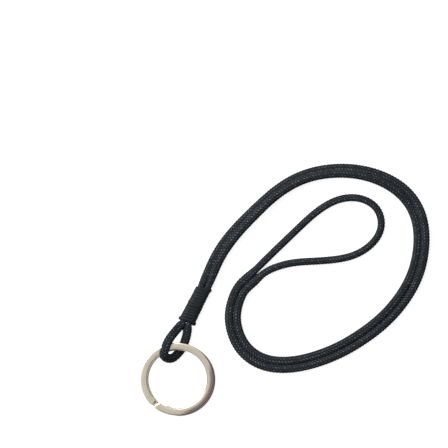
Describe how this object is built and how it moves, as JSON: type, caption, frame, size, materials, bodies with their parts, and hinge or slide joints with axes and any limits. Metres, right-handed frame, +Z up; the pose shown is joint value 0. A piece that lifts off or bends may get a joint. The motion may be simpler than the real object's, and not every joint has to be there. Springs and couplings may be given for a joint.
{
  "type": "lanyard",
  "caption": "Lanyard of round braided cord folded double, with a hand loop at one end and a twine-bound eye holding a flat split key ring at the other.",
  "frame": {"origin": "on the surface the lanyard lies on, under the middle of the box around the split ring and the whipping", "axes": "+Z up from the surface; +Y from the split ring towards the whipping; +X to the side on which the doubled cord and the loop lie"},
  "size_m": [0.1359, 0.1188, 0.0107],
  "materials": {
    "braided_cover": "black braided polyester, slight sheen",
    "cord_core": "undyed soft filament",
    "whipping_twine": "black waxed flat twine",
    "split_ring": "nickel plated, warm satin"
  },
  "bodies": {
    "lanyard": {"braided_cover": "braided_cover", "cord_core": "cord_core", "whipping_twine": "whipping_twine"},
    "ring": {"split_ring": "split_ring"}
  },
  "joints": [
    {"name": "ring_swing", "type": "hinge", "parent": "lanyard", "child": "ring", "pos_m": [-0.00175, 0.00178, 0.00536], "axis": [-0.9934, -0.114, -0.0147], "range_deg": [0, 180]}
  ]
}
